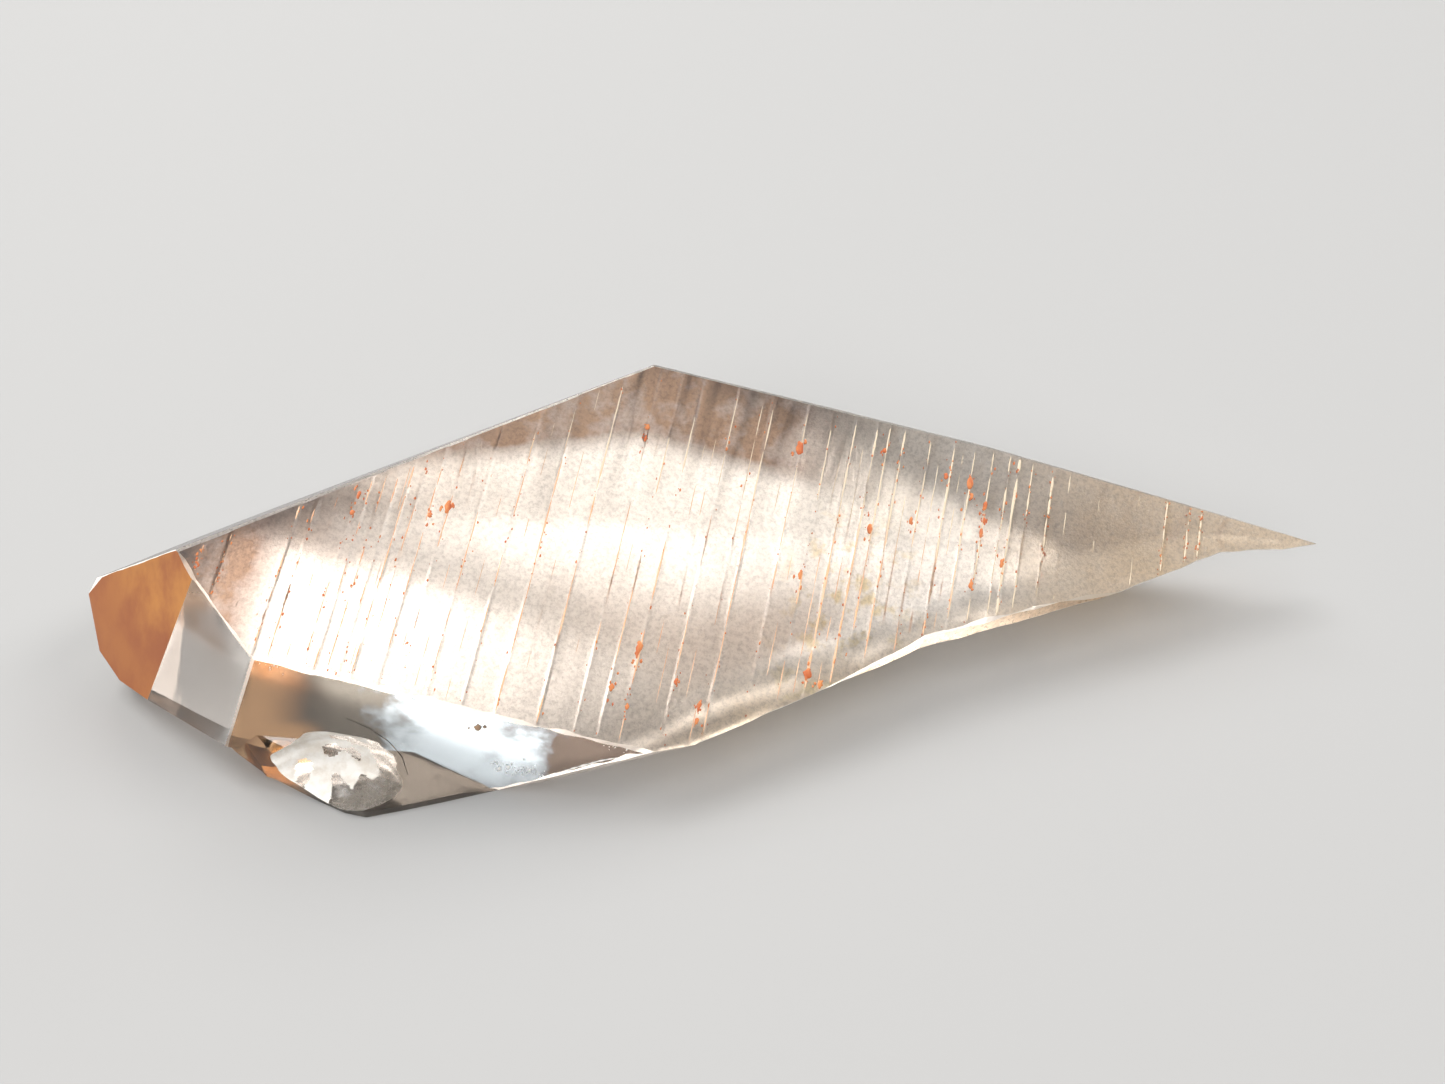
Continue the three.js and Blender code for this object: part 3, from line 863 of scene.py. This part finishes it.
class Nodes:
    """A new material with one shader, and short calls for building its nodes. Its fields
    are the values over the piece, such as u, v, w and the noises, that zones are read from."""

    def __init__(self, name):
        self.material = bpy.data.materials.new(name)
        self.material.use_nodes = True
        self.tree = self.material.node_tree
        self.tree.nodes.clear()
        self.shader = self.add("BsdfPrincipled", {"Roughness": ROUGHNESS.get(name, POLISH)})
        self.out = self.add("OutputMaterial", {"Surface": self.shader.outputs[0]})
        self.fields = {}

    def add(self, kind, inputs=None, /, **settings):
        """A shader node of a kind, with its settings and inputs."""
        node = self.tree.nodes.new("ShaderNode" + kind)
        for key, value in settings.items():
            setattr(node, key, value)
        self.feed(node, inputs or {})
        return node

    def feed(self, node, inputs):
        """Sets each input of a node to a value, or links it to another node's output."""
        for name, value in inputs.items():
            if isinstance(value, bpy.types.NodeSocket):
                self.tree.links.new(value, node.inputs[name])
            else:
                node.inputs[name].default_value = value

    def grown(self, *noises):
        """Object coordinates as fields u, v and w in mm in the grown frame, and the noises
        on them as fields of their own names."""
        place = self.add("TexCoord").outputs["Object"]
        x, y = LYING_MIDDLE
        place = self.add("Mapping", {
            "Vector": place, "Location": (-x * MM, -y * MM, CORNER_HEIGHT * MM),
            "Rotation": (math.radians(ROLL), math.radians(DIP), 0), "Scale": (MM, MM, MM),
        }, vector_type="TEXTURE").outputs[0]
        axes = self.add("SeparateXYZ", {0: place}).outputs
        self.fields.update(zip("uvw", axes))
        for name in noises:
            scale, detail, rough, *stretch = NOISES[name]
            at = place
            for scales in stretch:
                node = self.add("Mapping", {"Vector": place, "Scale": scales})
                at = node.outputs[0]
            self.fields[name] = self.add("TexNoise", {
                "Vector": at, "Scale": scale, "Detail": detail, "Roughness": rough,
            }).outputs["Fac"]
        return [*axes, *(self.fields[name] for name in noises)]

    def attribute(self, name):
        """A value that each face carries."""
        return self.add("Attribute", attribute_name=name).outputs["Fac"]

    def maths(self, operation, *values, clamp=False):
        """One sum, held between 0 and 1 if clamp is set."""
        inputs = dict(enumerate(values))
        node = self.add("Math", inputs, operation=operation, use_clamp=clamp)
        return node.outputs[0]

    def times(self, first, *others, clamp=False):
        """The product of values, held likewise."""
        for i, other in enumerate(others, 1):
            first = self.maths("MULTIPLY", first, other, clamp=clamp and i == len(others))
        return first

    def larger(self, one, other):
        """The larger of two values."""
        return self.maths("MAXIMUM", one, other)

    def zone(self, name):
        """One of the zones: its field from low..high to start..end, smoothly, held at both
        ends."""
        field, low, high, start, end = (*ZONES[name], 0, 1)[:5]
        return self.add("MapRange", {
            "Value": self.fields[field], "From Min": low, "From Max": high, "To Min": start,
            "To Max": end,
        }, interpolation_type="SMOOTHSTEP").outputs[0]

    def mix(self, share, one, other):
        """Colour one where the share is 0, the other where it is 1."""
        one, other = (
            c if isinstance(c, bpy.types.NodeSocket) else (*c, 1) for c in (one, other)
        )
        inputs = {0: share, 6: one, 7: other}
        return self.add("Mix", inputs, data_type="RGBA").outputs[2]


def quartz_material(finish):
    """Clear quartz by plain transmission, IOR and absorption. Frosted prism faces, glassy
    ends and breaks, an iron film in zones, painted shade, painted glints and painted skylight
    in the tints of the clear faces, and dark pits."""
    n = Nodes("quartz")
    n.feed(n.shader, {"Transmission Weight": 1, "IOR": QUARTZ_IOR})
    n.feed(n.out, {"Volume": n.add("VolumeAbsorption", {
        "Color": (*finish.body_colour, 1), "Density": finish.body_density,
    }).outputs[0]})
    u, v, _, cloud, pits, glints, *_ = n.grown("cloud", "pits", "glints", "smudges", "grain")
    frost, stained, filmed, pitted = (n.attribute(name) for name in FINISH_LAYERS)
    front, foot, end = (n.attribute(name) for name in CLEAR_FACES)
    left_of_corner = n.maths("MINIMUM", u, 0)
    swept = n.maths("SUBTRACT", cloud, CLOUD_MIDDLE)
    # the line where painted glints are left clear in the end face's painted shade
    glint = n.maths("MULTIPLY_ADD", u, GLINT_SLOPE, GLINT_START)
    n.fields |= {
        "below top edge": n.maths("MULTIPLY_ADD", left_of_corner, EDGE_SLOPE, v),
        "over low edge": n.maths("SUBTRACT", v, n.maths("MULTIPLY_ADD", u, *LOW_EDGE)),
        "swept": n.maths("MULTIPLY_ADD", swept, SWEEP, u),
        "glinting": n.maths("MULTIPLY_ADD", glints, GLINT_SWING, glint),
    }
    uneven, top_corner = n.zone("uneven"), n.times(n.zone("top corner"), end)
    top = n.times(*map(n.zone, (
        "film under top edge", "film near broad face", "film towards point",
    )))
    low = n.times(n.zone("tan along low edge"), n.zone("tan from corner"))
    chip = n.times(n.zone("stain low down"), n.zone("stain round chip"))
    blush = n.larger(top, n.zone("film at left"))
    tan = n.larger(n.zone("tan at point"), low)
    # where the front face gets its dark brown painted shade: its right end and low down
    umber = n.larger(n.zone("umber"), n.zone("umber low down"))
    stain = n.larger(n.zone("stain at left"), chip)
    smudges = n.times(filmed, *map(n.zone, (
        "smudges", "smudge left end", "smudge right end", "smudges below edge",
    )))
    tint = finish.clear_colour
    for share, colour_there in (
        (n.times(blush, uneven, filmed, clamp=True), finish.blush_colour),
        (n.times(tan, uneven, filmed, clamp=True), finish.tan_colour),
        # painted skylight: blue-white over the whole clear front face
        (front, finish.painted_sky_colour),
        # painted shade: olive on the front face's left part, dark brown at its right end and
        # low down
        (n.times(n.zone("olive"), front), finish.olive_shade_colour),
        (n.times(umber, front), finish.umber_shade_colour),
        # painted shadow: the foot near black
        (foot, finish.foot_shade_colour),
        (n.times(stain, uneven, n.larger(front, foot), clamp=True), finish.stain_colour),
        # painted shade: grey over the clear end face, with painted glints left clear down its
        # left side
        (n.times(n.zone("shade between painted glints"), n.zone("shade below corner"), end),
         finish.end_shade_colour),
        (top_corner, finish.tan_colour),
        (smudges, finish.ochre_colour),
        (n.times(stained, uneven, clamp=True), finish.stain_colour),
    ):
        tint = n.mix(share, tint, colour_there)
    shade = n.maths("MULTIPLY_ADD", n.zone("pit shade"), pitted, 1)
    rough = n.times(frost, n.zone("frosting"), finish.frost)
    rough = n.maths("MULTIPLY_ADD", top_corner, CORNER_ROUGH, rough)
    n.feed(n.shader, {
        "Base Color": n.add(
            "VectorMath", {0: tint, "Scale": shade}, operation="SCALE"
        ).outputs[0],
        "Roughness": n.maths("ADD", rough, POLISH),
        "Normal": n.add("Bump", {
            "Strength": finish.pitting, "Distance": PIT_DEPTH * MM,
            "Height": n.times(pits, pitted),
        }).outputs[0],
    })
    return n.material


def mineral(name, one, other, noise="wander", zones=("two tones",)):
    """An opaque mineral whose colour goes from one tone to the other by the product of
    zones, of which at least one is read from a noise."""
    n = Nodes(name)
    n.grown(noise)
    share = n.times(*map(n.zone, zones))
    n.feed(n.shader, {"Base Color": n.mix(share, one, other)})
    return n.material


def rust_material(finish):
    """The iron crust that hides the quartz on the stained end face: opaque and matt, lighter
    orange where it is thin and redder towards its lower corner."""
    return mineral(
        "iron_stain", finish.rust_colour, finish.rust_light, "streaks",
        ("thin rust", "rust above"),
    )


def clay_material(finish):
    """Clay that is cream near the broad face's top edge and iron-tinted lower down."""
    return mineral(
        "pale_clay", finish.clay_colour, finish.clay_dark,
        zones=("clay below edge", "clay right end", "clay patches"),
    )


# ---- clay and hematite ----


def off_table(points, reach):
    """Which points of the grown frame lie higher over the table than their reach."""
    return placed(points, laid_down())[:, 2] > reach + TABLE_GAP


def clay_form(sections, name, lines, depths, pieces, seed):
    """Pale clay left in the growth lines: on each line a row of long thin spindles, each a
    few tenths to a few mm long, laid in the groove with small gaps between them. The pieces
    are longer and wider towards the point."""
    rng = np.random.default_rng(seed)
    u = np.repeat(lines, pieces) + rng.normal(0, CLAY_STRAY, len(lines) * pieces)
    much = np.repeat(depths, pieces)
    low, high = sections.edges_at(name, u)
    room = np.clip(high - low - 2 * CLAY_MARGIN, 0, None)
    order = np.tile(np.arange(pieces), len(lines))
    share = (order + rng.uniform(*CLAY_PLACES, len(u))) / pieces
    wide = smooth(*CLAY_GROWS, u)
    length = 0.5 * room / pieces * rng.uniform(*CLAY_LENGTHS, len(u))
    length *= 1 + CLAY_LONGER * wide
    place = low + CLAY_MARGIN + share * room
    length = np.minimum(length, np.minimum(place - low, high - place) - CLAY_END_GAP)
    width = CLAY_NARROWEST + CLAY_WIDENS * much * rng.uniform(*CLAY_WIDTHS, len(u))
    width *= 1 + CLAY_WIDER * wide
    chance = CLAY_CHANCE + DEEP_CHANCE * much + POINT_CHANCE * wide
    kept = (length > CLAY_SHORTEST) & (rng.random(len(u)) < chance)
    centre, *ways = on_face(sections, name, u, place, -CLAY_SUNK)
    kept &= off_table(centre, length)
    sizes = np.stack([length, width, np.full(len(u), CLAY_THICK)])[:, kept]
    return spindles((centre[kept], *ways), sizes, *CLAY_SHAPE, seed)


def grain_form(sections, name, u, place, size, seed):
    """Hematite grains sunk by half into a face: short spindles longer along the growth
    lines than across them, swollen unevenly."""
    rng = np.random.default_rng(seed)
    low, high = sections.edges_at(name, u)
    centre, *ways = on_face(sections, name, u, place)
    kept = (place > low + size) & (place < high - size)
    kept &= off_table(centre, GRAIN_LENGTHS[1] * size)
    size = size[kept]
    length = size * rng.uniform(*GRAIN_LENGTHS, len(size))
    width = size * rng.uniform(*GRAIN_WIDTHS, len(size))
    sizes = length, width, GRAIN_THIN + GRAIN_THICK * size
    return spindles((centre[kept], *ways), sizes, *GRAIN_SHAPE, seed)


def scattered(rng, grains, count, spread, sizes):
    """Grains (along the axis, across the face, half size) with `count` smaller ones
    scattered round each, by chance in both ways and in their share of its size."""
    near = np.repeat(np.array(grains), count, 0)
    near[:, :2] += rng.normal(0, 1, (len(near), 2)) * spread
    near[:, 2] *= rng.uniform(*sizes, len(near))
    return np.concatenate([grains, near])


def thread_form(sections, name, path, radius):
    """A fine closed thread just under a face: a ring carried along a bent path, its radius
    shrinking to nothing at both ends as (1 - t^2)^0.5 with t from -1 to 1."""
    share = np.linspace(0, len(path) - 1, THREAD_RINGS)
    u, place = (np.interp(share, np.arange(len(path)), p) for p in np.array(path).T)
    centre, *_, out = on_face(sections, name, u, place, -THREAD_SUNK * radius)
    t = np.linspace(-THREAD_END, THREAD_END, THREAD_RINGS)
    swell = 1 + THREAD_UNEVEN * waves(THREAD_RATE * t, 0 * t, THREAD_WAVE, THREAD_SEED)
    size = radius * np.sqrt(1 - t * t) * swell
    turn = np.arange(THREAD_SIDES) * 2 * np.pi / THREAD_SIDES
    way = np.gradient(centre, axis=0)
    way /= np.linalg.norm(way, axis=1)[:, None]
    side = np.cross(way, out)
    ring = np.cos(turn)[:, None] * side[:, None] + np.sin(turn)[:, None] * out
    return tube(centre[:, None] + size[:, None, None] * ring)


def in_place(name, form, material):
    """A finished small piece, whose points were worked out in the grown frame."""
    points, faces = form
    mesh = mesh_of(name, placed(points, framed() @ laid_down()), faces)
    finish_mesh(mesh, GRAIN_TURN)
    mesh.materials.append(material)
    piece = shown_object(name, mesh)
    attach(piece, "root")


# ---- operators ----


class LEMURIAN_OT_crystal(Operator):
    """Grow the crystal: every face a worked surface between shared stations, then the foot
    joined on, the chip struck out of it and the base cut flat by the table"""

    bl_idname = "lemurian.crystal"
    bl_label = "Grow crystal"

    def execute(self, context):
        finish = context.scene.quartz_finish
        sections = Sections(context.scene.quartz_habit)
        points, quads = joined(*map(sections.face, sections.names))
        points = placed(points, laid_down())
        first = len(quads)
        kinds = np.repeat(np.arange(first), [len(part) for part in quads])
        blank = mesh_of("blank", points, quads, kinds, MERGE)
        if open_edges(blank):
            raise RuntimeError("the crystal's faces don't close")
        below = box_form(*UNDER_TABLE)
        mesh = carved(
            blank,
            ("UNION", mesh_of("foot", *foot_form(), first)),
            ("DIFFERENCE", mesh_of("chip", *chip_form(), first + 1)),
            ("DIFFERENCE", mesh_of("below", *below, first + 2)),
        )
        mesh.materials.clear()
        for material in (
            quartz_material(finish), rust_material(finish),
            mineral("bruised_quartz", finish.bruise_colour, finish.bruise_dull),
        ):
            mesh.materials.append(material)
        mark_faces(mesh, [*sections.names, *CARVED_KINDS])
        mesh.transform(framed())
        finish_mesh(mesh, FACE_TURN)
        mesh.name = "quartz_crystal"
        piece = shown_object("quartz_crystal", mesh)
        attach(piece, "root")
        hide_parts("crystal")
        return {"FINISHED"}


class LEMURIAN_OT_growth_line_clay(Operator):
    """Lay pale clay in the growth lines of the broad face and the back face"""

    bl_idname = "lemurian.growth_line_clay"
    bl_label = "Lay clay in growth lines"

    def execute(self, context):
        sections = Sections(context.scene.quartz_habit)
        finish = context.scene.quartz_finish
        broad, back = (line_depths(*row[2:]) for row in RULED_FACES.values())
        faint = np.full(len(FAINT_LINES), FAINT_DEPTH)
        form = joined(
            clay_form(sections, "broad", BROAD_LINES, broad, CLAY_PIECES, 81),
            clay_form(sections, "broad", FAINT_LINES, faint, FAINT_PIECES, 83),
            clay_form(sections, "back", BACK_LINES, back, CLAY_PIECES, 82),
        )
        in_place("growth_line_clay", form, clay_material(finish))
        return {"FINISHED"}


class LEMURIAN_OT_hematite_grains(Operator):
    """Set hematite grains along the growth lines: the large ones where they grew, and fine
    ones scattered along the lines by chance"""

    bl_idname = "lemurian.hematite_grains"
    bl_label = "Set hematite grains"

    def execute(self, context):
        habit, finish = context.scene.quartz_habit, context.scene.quartz_finish
        sections = Sections(habit)
        rng = np.random.default_rng(habit.seed + 90)
        large = scattered(rng, LARGE_GRAINS, *NEAR_LARGE)

        def fine(name, count):
            lines = RULED_FACES[name][2]
            u = rng.choice(lines, count) + rng.normal(0, GRAIN_STRAY, count)
            share, size = rng.random(count), rng.uniform(*FINE_SIZES, count)
            low, high = sections.edges_at(name, u)
            return np.stack([u, low + share * (high - low), size], -1)

        large *= (1, -1, 1)  # the face's places run down its slope
        broad = np.concatenate([large, fine("broad", habit.fine_grains)])
        back = fine("back", habit.fine_grains // 2)
        form = joined(
            grain_form(sections, "broad", *broad.T, 91),
            grain_form(sections, "back", *back.T, 92),
        )
        hematite = mineral("hematite", finish.grain_colour, finish.grain_light)
        in_place("hematite_grains", form, hematite)
        return {"FINISHED"}


class LEMURIAN_OT_milky_flecks(Operator):
    """Set milky flecks and a healed thread in the clear front face"""

    bl_idname = "lemurian.milky_flecks"
    bl_label = "Set milky flecks"

    def execute(self, context):
        sections = Sections(context.scene.quartz_habit)
        rng = np.random.default_rng(97)
        flecks = scattered(rng, MILKY_FLECKS, *NEAR_FLECKS)
        form = joined(
            thread_form(sections, "front", MILKY_THREAD, HEALED_RADIUS),
            grain_form(sections, "front", *flecks.T, 98),
        )
        finish = context.scene.quartz_finish
        milk = mineral("milky_quartz", finish.milk_colour, finish.milk_dull)
        in_place("milky_flecks", form, milk)
        return {"FINISHED"}


class LEMURIAN_OT_dark_inclusions(Operator):
    """Set the dark inclusion and the curved crack under the clear front face"""

    bl_idname = "lemurian.dark_inclusions"
    bl_label = "Set dark inclusions"

    def execute(self, context):
        sections = Sections(context.scene.quartz_habit)
        form = joined(
            thread_form(sections, "front", CRACK, CRACK_RADIUS),
            grain_form(sections, "front", *np.array(DARK_INCLUSIONS).T, 99),
        )
        finish = context.scene.quartz_finish
        dark = mineral("dark_mineral", finish.dark_colour, finish.dark_brown)
        in_place("dark_inclusions", form, dark)
        return {"FINISHED"}


class LEMURIAN_OT_studio(Operator):
    """Set the pale table, the soft lamps and the camera"""

    bl_idname = "lemurian.studio"
    bl_label = "Set studio"

    def execute(self, context):
        studio = context.scene.quartz_studio
        table = shown_object("table", mesh_of("table", *box_form(*TABLE_BOX)))
        n = Nodes("pale_table")
        n.feed(n.shader, {"Base Color": (*studio.table_colour, 1)})
        table.data.materials.append(n.material)
        world = bpy.data.worlds.new("room")
        context.scene.world = world
        world.use_nodes = True
        sky = world.node_tree.nodes["Background"]
        sky.inputs["Color"].default_value = (1, 1, 1, 1)
        sky.inputs["Strength"].default_value = studio.sky
        for name, (azimuth, elevation, size) in LAMPS.items():
            lamp = bpy.data.lights.new(f"{name}_lamp", "AREA")
            lamp.shape, lamp.size, lamp.energy = "DISK", size, getattr(studio, name)
            turn = Euler((0, math.radians(-elevation), math.radians(azimuth)))
            away = turn.to_matrix() @ Vector((LAMP_AWAY, 0, 0))
            self.aim(lamp, away, -away)
        camera = bpy.data.cameras.new("camera")
        camera.lens, camera.sensor_width = LENS, SENSOR
        camera.clip_start, camera.clip_end = CLIP
        context.scene.camera = self.aim(camera, Vector(CAMERA_AT) * MM, Vector(CAMERA_LOOKS))
        context.scene.view_settings.view_transform = "Standard"
        return {"FINISHED"}

    def aim(self, data, place, way):
        """Puts a lamp or the camera at a place, looking along a way."""
        thing = shown_object(data.name, data)
        thing.location = place
        thing.rotation_mode = "QUATERNION"
        thing.rotation_quaternion = way.to_track_quat("-Z", "Y")
        return thing


class LEMURIAN_PT_panel(Panel):
    """The steps that build the crystal and its stage"""

    bl_idname = "LEMURIAN_PT_panel"
    bl_label = "Lemurian quartz"
    bl_space_type = "VIEW_3D"
    bl_region_type = "UI"
    bl_category = "Quartz"

    def draw(self, context):
        for operator in OPERATORS:
            self.layout.operator(operator.bl_idname)


OPERATORS = (
    LEMURIAN_OT_crystal, LEMURIAN_OT_growth_line_clay, LEMURIAN_OT_hematite_grains,
    LEMURIAN_OT_milky_flecks, LEMURIAN_OT_dark_inclusions, LEMURIAN_OT_studio,
)
GROUPS = {
    "quartz_habit": QuartzHabit, "quartz_finish": QuartzFinish, "quartz_studio": QuartzStudio,
}
CLASSES = (*GROUPS.values(), *OPERATORS, LEMURIAN_PT_panel)


def register():
    for cls in CLASSES:
        bpy.utils.register_class(cls)
    for name, group in GROUPS.items():
        setattr(bpy.types.Scene, name, PointerProperty(type=group))


def unregister():
    for name in GROUPS:
        delattr(bpy.types.Scene, name)
    for cls in reversed(CLASSES):
        bpy.utils.unregister_class(cls)


def main():
    register()
    bpy.ops.lemurian.crystal()
    bpy.ops.lemurian.growth_line_clay()
    bpy.ops.lemurian.hematite_grains()
    bpy.ops.lemurian.milky_flecks()
    bpy.ops.lemurian.dark_inclusions()
    bpy.ops.lemurian.studio()


if __name__ == "__main__":
    main()
